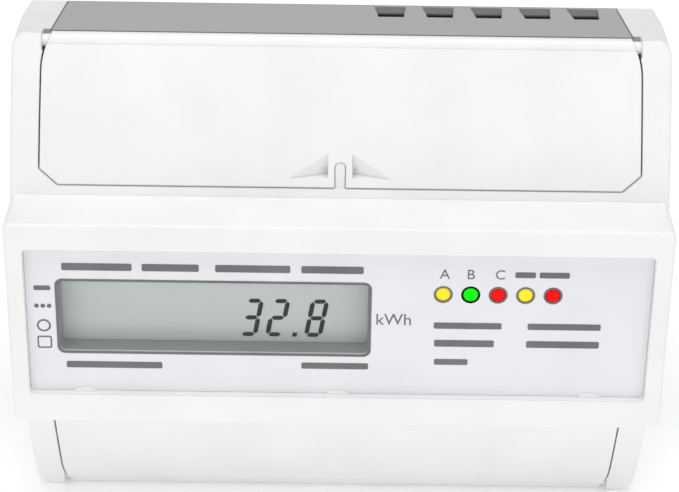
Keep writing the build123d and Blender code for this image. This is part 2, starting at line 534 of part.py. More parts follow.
with BuildPart() as lcd_frame:
    with BuildSketch(at_y(DISPLAY_BOARD_Y)):
        with Locations((WINDOW_X, WINDOW_Z)):
            frame_extra = 2 * (FRAME_GAP + FRAME_WALL)
            Rectangle(GLASS_W + frame_extra, GLASS_H + frame_extra)
            Rectangle(GLASS_W + 2 * FRAME_GAP, GLASS_H + 2 * FRAME_GAP, mode=Mode.SUBTRACT)
    extrude(amount=DISPLAY_BOARD_Y - GLASS_Y)
save(lcd_frame, "lcd_frame")

with BuildPart() as display_board:
    with BuildSketch(at_y(DISPLAY_BOARD_Y + BOARD_T)):
        Rectangle(DISPLAY_BOARD_W, DISPLAY_BOARD_H)
    extrude(amount=BOARD_T)
save(display_board, "display_board")

with BuildPart() as led_holder:
    led_mid_x = LED_X + (LEDS - 1) / 2 * LED_PITCH
    with BuildSketch(at_y(DISPLAY_BOARD_Y)):
        with Locations((led_mid_x, LED_Z)):
            Rectangle((LEDS - 1) * LED_PITCH + LED_HOLDER_H, LED_HOLDER_H)
        with Locations(*[(LED_X + i * LED_PITCH, LED_Z) for i in range(LEDS)]):
            Circle(LED_R + LED_HOLDER_GAP, mode=Mode.SUBTRACT)
    extrude(amount=DISPLAY_BOARD_Y - LED_HOLDER_Y)
save(led_holder, "led_holder")

for colour, places in LED_COLOURS.items():
    with BuildPart() as leds:
        with BuildSketch(at_y(DISPLAY_BOARD_Y)):
            with Locations(*[(LED_X + i * LED_PITCH, LED_Z) for i in places]):
                Circle(LED_R)
        extrude(amount=DISPLAY_BOARD_Y - LED_TIP_Y)
        tips = leds.faces().filter_by(Axis.Y).group_by(Axis.Y)[0]
        fillet(tips.edges(), LED_TIP_R)
    save(leds, colour)

# ---- Main board and what stands on it ---------------------------------------------------
with BuildPart() as main_board:
    with BuildSketch(at_y(MAIN_BOARD_Y + BOARD_T)):
        Rectangle(MAIN_BOARD_W, MAIN_BOARD_H)
        with GridLocations(2 * BOSS_X, 2 * BOSS_Z, 2, 2):
            Circle(SCREW_CLEAR_R, mode=Mode.SUBTRACT)
    extrude(amount=BOARD_T)
save(main_board, "main_board")

with BuildPart() as board_link:
    display_rear_y = DISPLAY_BOARD_Y + BOARD_T
    header_x0, header_x1 = RIBBON_X - HEADER_T / 2, RIBBON_X + HEADER_T / 2
    header_z0, header_z1 = RIBBON_Z - HEADER_W / 2, RIBBON_Z + HEADER_W / 2
    slab(header_x0, header_x1, display_rear_y, display_rear_y + HEADER_H, header_z0, header_z1)
    slab(header_x0, header_x1, MAIN_BOARD_Y - HEADER_H, MAIN_BOARD_Y, header_z0, header_z1)
    slab(RIBBON_X - RIBBON_T / 2, RIBBON_X + RIBBON_T / 2, display_rear_y, MAIN_BOARD_Y,
         RIBBON_Z - RIBBON_W / 2, RIBBON_Z + RIBBON_W / 2)
save(board_link, "board_link")

with BuildPart() as current_transformers:
    ct_y = LEG_FRONT_Y + LEG_T / 2
    with BuildSketch(Plane.XY.offset(CT_LOW_Z)):
        with Locations(*[(x, ct_y) for x in CT_X]):
            Circle(CT_R)
        with Locations(*[(x, (ct_y + MAIN_BOARD_Y) / 2) for x in CT_X]):
            Rectangle(CT_R, MAIN_BOARD_Y - ct_y)
        with Locations(*[(x, ct_y) for x in CT_X]):
            Circle(CT_HOLE_R, mode=Mode.SUBTRACT)
    extrude(amount=CT_H)
    fillet(current_transformers.edges().filter_by(GeomType.CIRCLE), CT_EDGE_R)
save(current_transformers, "current_transformers")

with BuildPart() as film_capacitors:
    for x in FILM_X:
        slab(x - FILM_HALF_W, x + FILM_HALF_W, FILM_FRONT_Y, MAIN_BOARD_Y, FILM_Z0, FILM_Z1)
    fillet(film_capacitors.edges().filter_by(Axis.Y), FILM_EDGE_R)
save(film_capacitors, "film_capacitors")

with BuildPart() as electrolytic_capacitors:
    with BuildSketch(at_y(MAIN_BOARD_Y)):
        with Locations(*CAN_PLACES):
            Circle(CAN_R)
    extrude(amount=CAN_H)
    fillet(electrolytic_capacitors.faces().sort_by(Axis.Y)[:2].edges(), CAN_EDGE_R)
save(electrolytic_capacitors, "electrolytic_capacitors")

with BuildPart() as board_chips:
    for x, z, w, h in CHIPS:
        slab(x - w / 2, x + w / 2, MAIN_BOARD_Y - CHIP_T, MAIN_BOARD_Y, z - h / 2, z + h / 2)
    for x in AUX_X[:-1]:
        slab(x - OPTO_HALF_W, x + OPTO_HALF_W, MAIN_BOARD_Y - OPTO_T, MAIN_BOARD_Y, OPTO_Z0, OPTO_Z1)
save(board_chips, "board_chips")

# ---- Busbars, main terminal block, cages and screws -------------------------------------
with BuildPart() as busbars:
    for x in TERMINAL_X[0::2]:
        centre_x = x + TERMINAL_PITCH / 2
        with BuildSketch(at_y(LEG_FRONT_Y + LEG_T)) as u_shape:
            with Locations((centre_x, (LEG_END_Z + BRIDGE_TOP_Z) / 2)):
                Rectangle(TERMINAL_PITCH + LEG_W, BRIDGE_TOP_Z - LEG_END_Z)
            fillet(u_shape.vertices().group_by(Axis.Y)[-1], LEG_W / 2)
            with Locations((centre_x, (LEG_END_Z + BRIDGE_TOP_Z) / 2 - LEG_W)):
                Rectangle(TERMINAL_PITCH - LEG_W, BRIDGE_TOP_Z - LEG_END_Z, mode=Mode.SUBTRACT)
        extrude(amount=LEG_T)
save(busbars, "busbars")

with BuildPart() as sense_leads:
    with BuildSketch(at_y(MAIN_BOARD_Y)):
        with Locations(*[(x + TERMINAL_PITCH / 2, BRIDGE_TOP_Z - LEG_W / 2) for x in TERMINAL_X[0::2]]):
            Circle(SENSE_LEAD_R)
    extrude(amount=MAIN_BOARD_Y - LEG_FRONT_Y - LEG_T)
save(sense_leads, "sense_leads")

with BuildPart() as main_terminal_block:
    slab(-BLOCK_HALF_W, BLOCK_HALF_W, BLOCK_FRONT_Y, BLOCK_REAR_Y, BLOCK_LOW_Z, BLOCK_TOP_Z)
    for x in TERMINAL_X:
        slab(x - CHAMBER_HALF_W, x + CHAMBER_HALF_W, CHAMBER_FRONT_Y, CHAMBER_REAR_Y,
             BLOCK_LOW_Z, CHAMBER_TOP_Z, Mode.SUBTRACT)
        slab(x - SCREW_HOLE / 2, x + SCREW_HOLE / 2, BLOCK_FRONT_Y, CHAMBER_FRONT_Y,
             SCREW_Z - SCREW_HOLE / 2, SCREW_Z + SCREW_HOLE / 2, Mode.SUBTRACT)
        slab(x - LEG_W / 2 - GAP, x + LEG_W / 2 + GAP, LEG_FRONT_Y - GAP, LEG_FRONT_Y + LEG_T + GAP,
             CHAMBER_TOP_Z, BLOCK_TOP_Z, Mode.SUBTRACT)
save(main_terminal_block, "main_terminal_block")

for i, x in enumerate(TERMINAL_X, start=1):
    with BuildPart() as cage:
        cage_z0, cage_z1 = SCREW_Z - CAGE_H / 2, SCREW_Z + CAGE_H / 2
        slab(x - CAGE_HALF_W, x + CAGE_HALF_W, CAGE_FRONT_Y, CAGE_REAR_Y, cage_z0, cage_z1)
        fillet(cage.edges().filter_by(Axis.Z), CAGE_EDGE_R)
        slab(x - CAGE_HALF_W + CAGE_SIDE_T, x + CAGE_HALF_W - CAGE_SIDE_T, CAGE_FRONT_Y + CAGE_FRONT_T,
             CAGE_REAR_Y - CAGE_REAR_T, cage_z0, cage_z1, Mode.SUBTRACT)
        with BuildSketch(at_y(CAGE_FRONT_Y + CAGE_FRONT_T)):
            with Locations((x, SCREW_Z)):
                Circle(SCREW_BORE_R)
        extrude(amount=CAGE_FRONT_T, mode=Mode.SUBTRACT)
    save(cage, f"terminal_cage_{i}")

    with BuildPart() as screw:
        with BuildSketch(at_y(SCREW_TIP_Y)):
            with Locations((x, SCREW_Z)):
                Circle(SCREW_R)
        extrude(amount=SCREW_TIP_Y - HEAD_REAR_Y)
        with BuildSketch(at_y(HEAD_REAR_Y)):
            with Locations((x, SCREW_Z)):
                Circle(HEAD_R)
        extrude(amount=HEAD_REAR_Y - HEAD_FRONT_Y)
        fillet(screw.faces().sort_by(Axis.Y)[0].edges(), HEAD_EDGE_R)
        for w, h in ((CROSS_L, CROSS_W), (CROSS_W, CROSS_L)):
            slab(x - w / 2, x + w / 2, HEAD_FRONT_Y, HEAD_FRONT_Y + CROSS_DEPTH,
                 SCREW_Z - h / 2, SCREW_Z + h / 2, Mode.SUBTRACT)
    save(screw, f"terminal_screw_{i}")

# ---- Auxiliary terminal block, contacts, cages and screws -------------------------------
with BuildPart() as aux_terminal_block:
    slab(AUX_BLOCK_X0, AUX_BLOCK_X1, AUX_BLOCK_FRONT_Y, AUX_BLOCK_REAR_Y, AUX_BLOCK_Z0, AUX_BLOCK_Z1)
    for x in AUX_X:
        slab(x - AUX_CHAMBER_HALF_W, x + AUX_CHAMBER_HALF_W, AUX_CHAMBER_FRONT_Y, AUX_CHAMBER_REAR_Y,
             AUX_CHAMBER_Z, AUX_BLOCK_Z1, Mode.SUBTRACT)
        slab(x - AUX_SCREW_HOLE / 2, x + AUX_SCREW_HOLE / 2, AUX_BLOCK_FRONT_Y, AUX_CHAMBER_FRONT_Y,
             AUX_SCREW_Z - AUX_SCREW_HOLE / 2, AUX_SCREW_Z + AUX_SCREW_HOLE / 2, Mode.SUBTRACT)
        slab(x - CONTACT_W / 2 - GAP, x + CONTACT_W / 2 + GAP, CONTACT_FRONT_Y - GAP,
             CONTACT_FRONT_Y + CONTACT_T + GAP, AUX_BLOCK_Z0, AUX_CHAMBER_Z, Mode.SUBTRACT)
        slab(x - STOP_HALF_W, x + STOP_HALF_W, STOP_FRONT_Y, STOP_REAR_Y, AUX_BLOCK_Z1, STOP_TOP_Z)
save(aux_terminal_block, "aux_terminal_block")

with BuildPart() as aux_contacts:
    for x in AUX_X:
        x0, x1 = x - CONTACT_W / 2, x + CONTACT_W / 2
        slab(x0, x1, CONTACT_FRONT_Y, CONTACT_FRONT_Y + CONTACT_T, CONTACT_LOW_Z, CONTACT_TOP_Z)
        slab(x0, x1, CONTACT_FRONT_Y, MAIN_BOARD_Y, CONTACT_LOW_Z, CONTACT_LOW_Z + CONTACT_T)
save(aux_contacts, "aux_contacts")

for i, x in enumerate(AUX_X, start=1):
    with BuildPart() as aux_cage:
        cage_z0, cage_z1 = AUX_SCREW_Z - AUX_CAGE_H / 2, AUX_SCREW_Z + AUX_CAGE_H / 2
        slab(x - AUX_CAGE_HALF_W, x + AUX_CAGE_HALF_W, AUX_CAGE_FRONT_Y, AUX_CAGE_REAR_Y, cage_z0, cage_z1)
        fillet(aux_cage.edges().filter_by(Axis.Z), AUX_CAGE_EDGE_R)
        slab(x - AUX_CAGE_HALF_W + AUX_CAGE_SIDE_T, x + AUX_CAGE_HALF_W - AUX_CAGE_SIDE_T,
             AUX_CAGE_FRONT_Y + AUX_CAGE_FRONT_T, AUX_CAGE_REAR_Y - AUX_CAGE_REAR_T,
             cage_z0, cage_z1, Mode.SUBTRACT)
        with BuildSketch(at_y(AUX_CAGE_FRONT_Y + AUX_CAGE_FRONT_T)):
            with Locations((x, AUX_SCREW_Z)):
                Circle(AUX_SCREW_BORE_R)
        extrude(amount=AUX_CAGE_FRONT_T, mode=Mode.SUBTRACT)
    save(aux_cage, f"aux_cage_{i}")

    with BuildPart() as aux_screw:
        with BuildSketch(at_y(AUX_SCREW_TIP_Y)):
            with Locations((x, AUX_SCREW_Z)):
                Circle(AUX_SCREW_R)
        extrude(amount=AUX_SCREW_TIP_Y - AUX_HEAD_REAR_Y)
        with BuildSketch(at_y(AUX_HEAD_REAR_Y)):
            with Locations((x, AUX_SCREW_Z)):
                Circle(AUX_HEAD_R)
        extrude(amount=AUX_HEAD_REAR_Y - AUX_HEAD_FRONT_Y)
        fillet(aux_screw.faces().sort_by(Axis.Y)[0].edges(), AUX_HEAD_EDGE_R)
        slab(x - AUX_SLOT_HALF_L, x + AUX_SLOT_HALF_L, AUX_HEAD_FRONT_Y, AUX_HEAD_FRONT_Y + AUX_SLOT_DEPTH,
             AUX_SCREW_Z - AUX_SLOT_HALF_W, AUX_SCREW_Z + AUX_SLOT_HALF_W, Mode.SUBTRACT)
    save(aux_screw, f"aux_screw_{i}")

# ---- Rear base with the rail channel ----------------------------------------------------
with BuildPart() as rear_base:
    with BuildSketch(Plane.YZ):
        with BuildLine():
            Polyline(
                (END_Y, 0),
                (END_Y, END_Z),
                (FOOT_Y, FOOT_Z),
                (REAR_Y, REAR_Z),
                (REAR_Y, CHANNEL_Z),
                (FLOOR_Y, CHANNEL_Z),
                (FLOOR_Y, 0),
            )
            mirror(about=Plane.XZ)
        make_face()
    extrude(amount=STEP_HALF_W, both=True)
    with BuildSketch(at_y(REAR_Y)):
        add(body_outline())
    extrude(amount=REAR_Y - END_Y, mode=Mode.INTERSECT)
    # Hollow behind the electronics, deeper inside the two feet
    half_w, tray_y = BASE_CAVITY_HALF_W, FLOOR_Y - FLOOR_T
    slab(-half_w, half_w, END_Y, tray_y, -FOOT_OUTER_Z, FOOT_OUTER_Z, Mode.SUBTRACT)
    slab(-half_w, half_w, tray_y, FOOT_FLOOR_Y, FOOT_INNER_Z, FOOT_OUTER_Z, Mode.SUBTRACT)
    slab(-half_w, half_w, tray_y, FOOT_FLOOR_Y, -FOOT_OUTER_Z, -FOOT_INNER_Z, Mode.SUBTRACT)
    # Pad that rests on the rail, and the lip that hooks behind its upper edge
    slab(-PAD_HALF_W, PAD_HALF_W, FLOOR_Y, 0, -PAD_HALF_H, PAD_HALF_H)
    slab(-BLOCK_HALF_W, BLOCK_HALF_W, LIP_Y0, LIP_Y1, LIP_Z, CHANNEL_Z)
    # Ribs that carry the terminal blocks
    for x in RIB_X:
        slab(x - RIB_HALF_T, x + RIB_HALF_T, BLOCK_REAR_Y, FOOT_FLOOR_Y, -FOOT_OUTER_Z, RIB_TOP_Z)
    for x in (AUX_X[0], AUX_X[-1]):
        slab(x - RIB_HALF_T, x + RIB_HALF_T, AUX_BLOCK_REAR_Y, FOOT_FLOOR_Y, AUX_BLOCK_Z0, FOOT_OUTER_Z)
    # Posts and counterbored holes for the housing screws
    with BuildSketch(at_y(tray_y)):
        with GridLocations(2 * BOSS_X, 2 * BOSS_Z, 2, 2):
            Circle(POST_R)
    extrude(amount=tray_y - MAIN_BOARD_Y - BOARD_T)
    with BuildSketch(at_y(FLOOR_Y)):
        with GridLocations(2 * BOSS_X, 2 * BOSS_Z, 2, 2):
            Circle(SCREW_CLEAR_R)
    extrude(amount=-MAIN_BOARD_Y, mode=Mode.SUBTRACT)
    with BuildSketch(at_y(FLOOR_Y)):
        with GridLocations(2 * BOSS_X, 2 * BOSS_Z, 2, 2):
            Circle(COUNTERBORE_R)
    extrude(amount=COUNTERBORE_DEPTH, mode=Mode.SUBTRACT)
    # Guides for the two clips: a stepped groove, and a post for the spring to push against
    for x in (-CLIP_X, CLIP_X):
        slab(x - GUIDE_HALF_W, x + GUIDE_HALF_W, tray_y, REAR_Y, -FOOT_OUTER_Z - GUIDE_LAP, -CHANNEL_Z)
        slab(x - CLIP_HALF_W - GAP, x + CLIP_HALF_W + GAP, CLIP_Y0 - GAP, CLIP_Y1 + GAP,
             -FOOT_Z, -CHANNEL_Z, Mode.SUBTRACT)
        slab(x - CLIP_NECK_HALF_W - GAP, x + CLIP_NECK_HALF_W + GAP, CLIP_Y1 + GAP, REAR_Y,
             -FOOT_Z, -CHANNEL_Z, Mode.SUBTRACT)
        slab(x - SPRING_POST_HALF_W, x + SPRING_POST_HALF_W, CLIP_Y0 - GAP, SPRING_POST_Y,
             SPRING_LOW_Z - SPRING_POST_T, SPRING_LOW_Z)
save(rear_base, "rear_base")

for side, x in (("left", -CLIP_X), ("right", CLIP_X)):
    with BuildPart() as rail_clip:
        slab(x - CLIP_HALF_W, x + CLIP_HALF_W, CLIP_Y0, CLIP_Y1, CLIP_LOW_Z, CLIP_LIP_Z)
        chamfer(rail_clip.edges().filter_by(Axis.X).group_by(Axis.Z)[-1].sort_by(Axis.Y)[-1], CLIP_LEAD)
        slab(x - CLIP_NECK_HALF_W, x + CLIP_NECK_HALF_W, CLIP_Y1, CLIP_Y2, CLIP_LOW_Z, -CHANNEL_Z)
        slab(x - TAB_HALF_W, x + TAB_HALF_W, CLIP_Y0, CLIP_Y2, TAB_LOW_Z, TAB_TOP_Z)
        slab(x - CLIP_NECK_HALF_W, x + CLIP_NECK_HALF_W, CLIP_Y0, CLIP_Y2, TAB_TOP_Z, CLIP_LOW_Z)
        slab(x - TAB_SLOT_HALF_W, x + TAB_SLOT_HALF_W, CLIP_Y0, CLIP_Y2,
             TAB_SLOT_Z0, TAB_SLOT_Z1, Mode.SUBTRACT)
        slab(x - SPRING_WINDOW_HALF_W, x + SPRING_WINDOW_HALF_W, CLIP_Y0, CLIP_Y2,
             SPRING_LOW_Z - SPRING_POST_T - GAP, SPRING_TOP_Z, Mode.SUBTRACT)
    save(rail_clip, f"rail_clip_{side}")

    with BuildPart() as clip_spring:
        spring_y = (CLIP_Y0 + CLIP_Y2) / 2
        coil_height = SPRING_TOP_Z - SPRING_LOW_Z - 2 * SPRING_WIRE_R
        with BuildLine():
            Helix(
                pitch=coil_height / SPRING_TURNS,
                height=coil_height,
                radius=SPRING_R,
                center=(x, spring_y, SPRING_LOW_Z + SPRING_WIRE_R),
            )
        with BuildSketch(Plane(origin=(x + SPRING_R, spring_y, SPRING_LOW_Z + SPRING_WIRE_R),
                               x_dir=(1, 0, 0), z_dir=(0, 1, 0))):
            Circle(SPRING_WIRE_R)
        sweep(is_frenet=True)
    save(clip_spring, f"clip_spring_{side}")

# ---- Housing screws, one node -----------------------------------------------------------
with BuildPart() as housing_screws:
    head_seat_y = FLOOR_Y - COUNTERBORE_DEPTH
    with BuildSketch(at_y(head_seat_y)):
        with GridLocations(2 * BOSS_X, 2 * BOSS_Z, 2, 2):
            Circle(HOUSING_SCREW_R)
    extrude(amount=HOUSING_SCREW_L)
    with BuildSketch(at_y(head_seat_y + HOUSING_HEAD_T)):
        with GridLocations(2 * BOSS_X, 2 * BOSS_Z, 2, 2):
            Circle(HOUSING_HEAD_R)
    extrude(amount=HOUSING_HEAD_T)
    with BuildSketch(at_y(head_seat_y + HOUSING_HEAD_T)):
        with GridLocations(2 * BOSS_X, 2 * BOSS_Z, 2, 2):
            Rectangle(HOUSING_CROSS_L, HOUSING_CROSS_W)
            Rectangle(HOUSING_CROSS_W, HOUSING_CROSS_L)
    extrude(amount=HOUSING_CROSS_DEPTH, mode=Mode.SUBTRACT)
save(housing_screws, "housing_screws")
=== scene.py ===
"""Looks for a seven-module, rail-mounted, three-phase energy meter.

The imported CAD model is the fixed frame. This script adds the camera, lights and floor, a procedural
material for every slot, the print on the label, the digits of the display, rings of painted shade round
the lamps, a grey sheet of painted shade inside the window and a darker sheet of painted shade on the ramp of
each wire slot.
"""
import math

import bmesh
import bpy
from mathutils import Matrix, Vector


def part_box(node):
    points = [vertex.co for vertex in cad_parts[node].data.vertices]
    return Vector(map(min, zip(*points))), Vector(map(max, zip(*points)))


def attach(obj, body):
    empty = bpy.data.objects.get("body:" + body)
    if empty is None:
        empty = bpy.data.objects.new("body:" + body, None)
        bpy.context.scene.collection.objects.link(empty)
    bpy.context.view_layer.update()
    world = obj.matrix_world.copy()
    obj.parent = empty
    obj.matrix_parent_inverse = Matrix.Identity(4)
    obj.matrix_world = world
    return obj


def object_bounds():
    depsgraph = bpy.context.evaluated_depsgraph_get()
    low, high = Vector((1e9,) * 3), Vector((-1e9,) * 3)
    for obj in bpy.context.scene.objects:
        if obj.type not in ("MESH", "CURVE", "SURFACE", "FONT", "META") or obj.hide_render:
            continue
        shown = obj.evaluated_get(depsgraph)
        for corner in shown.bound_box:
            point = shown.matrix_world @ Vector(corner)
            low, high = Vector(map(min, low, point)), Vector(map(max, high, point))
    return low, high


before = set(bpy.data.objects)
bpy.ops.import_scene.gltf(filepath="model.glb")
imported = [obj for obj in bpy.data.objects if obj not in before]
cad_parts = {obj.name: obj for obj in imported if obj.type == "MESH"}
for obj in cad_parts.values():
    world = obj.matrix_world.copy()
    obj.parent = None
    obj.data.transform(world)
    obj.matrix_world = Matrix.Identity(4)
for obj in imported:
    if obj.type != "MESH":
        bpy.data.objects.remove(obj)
cad_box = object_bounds()

MM = 0.001
BODY = "housing"
scene = bpy.context.scene


# ---------------------------------------------------------------- camera

CAMERA_PLACE = Vector((-0.95, -421.55, 206.65)) * MM
CAMERA_PITCH = math.radians(27.612)
CAMERA_YAW = math.radians(0.156)
CAMERA_ROLL = math.radians(0.844)
LENS_MM = 115.61
SENSOR_MM = 36.0


def make_camera():
    """The camera stands in front of the meter and above it, nearly square on."""
    ahead = Vector((
        math.sin(CAMERA_YAW) * math.cos(CAMERA_PITCH),
        math.cos(CAMERA_YAW) * math.cos(CAMERA_PITCH),
        -math.sin(CAMERA_PITCH),
    ))
    level_right = Vector((math.cos(CAMERA_YAW), -math.sin(CAMERA_YAW), 0.0))
    level_up = level_right.cross(ahead)
    right = level_right * math.cos(CAMERA_ROLL) + level_up * math.sin(CAMERA_ROLL)
    up = level_up * math.cos(CAMERA_ROLL) - level_right * math.sin(CAMERA_ROLL)
    turn = Matrix((right, up, -ahead)).transposed()
    data = bpy.data.cameras.new("camera")
    data.lens = LENS_MM
    data.sensor_width = SENSOR_MM
    data.sensor_fit = "HORIZONTAL"
    data.clip_start = 0.01
    data.clip_end = 20.0
    camera = bpy.data.objects.new("camera", data)
    scene.collection.objects.link(camera)
    camera.matrix_world = Matrix.Translation(CAMERA_PLACE) @ turn.to_4x4()
    scene.camera = camera


make_camera()


# ---------------------------------------------------------------- light and floor

WORLD_STRENGTH = 0.51
FLOOR_HALF = 4.0  # metres
FLOOR_DROP = 0.2 * MM  # below the lowest point of the meter
FLOOR_GLOW = 0.2  # keeps the sheet white in the picture
AREA_LIGHTS = (
    # name, place and size in metres, power in watts
    ("overhead", (0.0, -0.28, 1.3), 1.0, 9.0),
    ("front_left", (-0.75, -1.1, 0.35), 0.9, 2.2),
    ("front_right", (0.8, -1.1, 0.3), 0.9, 1.9),
)


def area_light(name, place, size, power):
    """A square soft light at place, aimed at the middle of the meter."""
    data = bpy.data.lights.new(name, "AREA")
    data.size = size
    data.energy = power
    light = bpy.data.objects.new(name, data)
    scene.collection.objects.link(light)
    place = Vector(place)
    light.matrix_world = Matrix.Translation(place) @ (-place).to_track_quat("-Z", "Y").to_matrix().to_4x4()


def light_the_studio():
    scene.view_settings.view_transform = "Standard"
    world = bpy.data.worlds.new("studio")
    world.use_nodes = True
    background = world.node_tree.nodes["Background"]
    background.inputs["Color"].default_value = (1.0, 1.0, 1.0, 1.0)
    background.inputs["Strength"].default_value = WORLD_STRENGTH
    scene.world = world
    for name, place, size, power in AREA_LIGHTS:
        area_light(name, place, size, power)


def lay_floor():
    """A plain pale sheet under the meter."""
    mesh = bpy.data.meshes.new("floor")
    level = cad_box[0].z - FLOOR_DROP
    corners = [(x * FLOOR_HALF, y * FLOOR_HALF, level) for x, y in ((-1, -1), (1, -1), (1, 1), (-1, 1))]
    mesh.from_pydata(corners, [], [(0, 1, 2, 3)])
    floor = bpy.data.objects.new("floor", mesh)
    scene.collection.objects.link(floor)
    material = bpy.data.materials.new("floor_paper")
    material.use_nodes = True
    shader = material.node_tree.nodes["Principled BSDF"]
    shader.inputs["Base Color"].default_value = (0.93, 0.93, 0.93, 1.0)
    shader.inputs["Roughness"].default_value = 0.9
    shader.inputs["Specular IOR Level"].default_value = 0.1
    shader.inputs["Emission Color"].default_value = (1.0, 1.0, 1.0, 1.0)
    shader.inputs["Emission Strength"].default_value = FLOOR_GLOW
    mesh.materials.append(material)


light_the_studio()
lay_floor()


# ---------------------------------------------------------------- materials

PALER = 1.02
DARKER = 0.97
GLOSS_SPREAD = 0.12  # share by which the roughness varies each way
BUMP_STRENGTH = 0.35
PANE_ALPHA = 0.025
LAMP_GLOW = 0.2
LAMP_SHINE = 0.12
INK_SHINE = 0.05


def sum_noise(tree, scale, detail, stretch=(1.0, 1.0, 1.0)):
    """A noise fixed to the piece. Its scale is per metre, and stretch draws it out along an axis."""
    place = tree.nodes.new("ShaderNodeTexCoord")
    mapping = tree.nodes.new("ShaderNodeMapping")
    mapping.inputs["Scale"].default_value = stretch
    noise = tree.nodes.new("ShaderNodeTexNoise")
    noise.inputs["Scale"].default_value = scale
    noise.inputs["Detail"].default_value = detail
    tree.links.new(place.outputs["Object"], mapping.inputs["Vector"])
    tree.links.new(mapping.outputs["Vector"], noise.inputs["Vector"])
    return noise.outputs["Fac"]


def between(tree, factor, low, high):
    """A number that follows factor, from low to high."""
    spread = tree.nodes.new("ShaderNodeMapRange")
    spread.inputs["From Min"].default_value = 0.25
    spread.inputs["From Max"].default_value = 0.75
    spread.inputs["To Min"].default_value = low
    spread.inputs["To Max"].default_value = high
    tree.links.new(factor, spread.inputs["Value"])
    return spread.outputs["Result"]


def colour_between(tree, factor, first, second):
    ramp = tree.nodes.new("ShaderNodeValToRGB")
    ramp.color_ramp.elements[0].position = 0.3
    ramp.color_ramp.elements[1].position = 0.7
    ramp.color_ramp.elements[0].color = (*first, 1.0)
    ramp.color_ramp.elements[1].color = (*second, 1.0)
    tree.links.new(factor, ramp.inputs["Fac"])
    return ramp.outputs["Color"]


def scaled(colour, factor):
    return tuple(min(1.0, part * factor) for part in colour)


def make_material(name, colour, roughness, grain=2500.0, relief=0.03, edge=0.25, second=None,
                  metallic=0.0, coat=0.0, stretch=(1.0, 1.0, 1.0), mottle=70.0):
    """A surface with fine grain, slightly uneven colour and gloss, and softened edges.

    grain and mottle are noise scales per metre; relief and edge are in millimetres.
    """
    material = bpy.data.materials.new(name)
    material.use_nodes = True
    tree = material.node_tree
    shader = tree.nodes["Principled BSDF"]
    other = second or scaled(colour, PALER)
    patches = sum_noise(tree, mottle, 4.0, stretch)
    tree.links.new(colour_between(tree, patches, scaled(colour, DARKER), other), shader.inputs["Base Color"])
    gloss = between(tree, patches, roughness * (1.0 - GLOSS_SPREAD), roughness * (1.0 + GLOSS_SPREAD))
    tree.links.new(gloss, shader.inputs["Roughness"])
    bump = tree.nodes.new("ShaderNodeBump")
    bump.inputs["Strength"].default_value = BUMP_STRENGTH
    bump.inputs["Distance"].default_value = relief * MM
    tree.links.new(sum_noise(tree, grain, 2.0, stretch), bump.inputs["Height"])
    if edge:
        rounding = tree.nodes.new("ShaderNodeBevel")
        rounding.samples = 4
        rounding.inputs["Radius"].default_value = edge * MM
        tree.links.new(rounding.outputs["Normal"], bump.inputs["Normal"])
    tree.links.new(bump.outputs["Normal"], shader.inputs["Normal"])
    shader.inputs["Metallic"].default_value = metallic
    shader.inputs["Coat Weight"].default_value = coat
    shader.inputs["Coat Roughness"].default_value = 0.1
    return material


def make_clear(name):
    """The clear pane: thin, glossy, and faintly hazed."""
    material = make_material(name, (0.96, 0.97, 0.97), 0.05, relief=0.002, edge=0.0)
    shader = material.node_tree.nodes["Principled BSDF"]
    shader.inputs["Alpha"].default_value = PANE_ALPHA
    return material


def make_lamp(name, colour):
    """A tinted lens that is lit from inside."""
    material = make_material(name, colour, 0.35, relief=0.004, edge=0.1)
    shader = material.node_tree.nodes["Principled BSDF"]
    shader.inputs["Specular IOR Level"].default_value = LAMP_SHINE
    shader.inputs["Emission Color"].default_value = (*colour, 1.0)
    shader.inputs["Emission Strength"].default_value = LAMP_GLOW
    return material


def make_board(name):
    """Green solder mask over faint copper tracks."""
    material = make_material(name, (0.02, 0.17, 0.07), 0.32, relief=0.02, edge=0.1, coat=0.3,
                             second=(0.03, 0.21, 0.09))
    tree = material.node_tree
    shader = tree.nodes["Principled BSDF"]
    place = tree.nodes.new("ShaderNodeTexCoord")
    turn = tree.nodes.new("ShaderNodeMapping")
    turn.inputs["Rotation"].default_value = (math.radians(90.0), 0.0, 0.0)
    tracks = tree.nodes.new("ShaderNodeTexBrick")
    tracks.inputs["Scale"].default_value = 120.0
    tracks.inputs["Mortar Size"].default_value = 0.03
    tracks.inputs["Color1"].default_value = (0.02, 0.17, 0.07, 1.0)
    tracks.inputs["Color2"].default_value = (0.02, 0.15, 0.06, 1.0)
    tracks.inputs["Mortar"].default_value = (0.10, 0.32, 0.13, 1.0)
    tree.links.new(place.outputs["Object"], turn.inputs["Vector"])
    tree.links.new(turn.outputs["Vector"], tracks.inputs["Vector"])
    tree.links.new(tracks.outputs["Color"], shader.inputs["Base Color"])
    return material


def make_display(name):
    """Polarised glass over a grey-green cell, with painted shade that makes it a little darker towards its
    lower edge.
    """
    material = make_material(name, (0.50, 0.56, 0.53), 0.22, relief=0.003, edge=0.0, coat=0.3)
    tree = material.node_tree
    shader = tree.nodes["Principled BSDF"]
    low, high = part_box("lcd_glass")
    place = tree.nodes.new("ShaderNodeTexCoord")
    axes = tree.nodes.new("ShaderNodeSeparateXYZ")
    height = tree.nodes.new("ShaderNodeMapRange")
    height.inputs["From Min"].default_value = low.z
    height.inputs["From Max"].default_value = high.z
    tree.links.new(place.outputs["Object"], axes.inputs["Vector"])
    tree.links.new(axes.outputs["Z"], height.inputs["Value"])
    # painted shade: the cell is darker towards its lower edge
    painted_shade_gradient = colour_between(tree, height.outputs["Result"], (0.515, 0.57, 0.55), (0.545, 0.60, 0.58))
    tree.links.new(painted_shade_gradient, shader.inputs["Base Color"])
    return material


WHITE = (0.87, 0.87, 0.865)
LABEL_TINT = (0.80, 0.80, 0.835)
INK = (0.13, 0.13, 0.135)
BLACK = (0.003, 0.003, 0.0035)

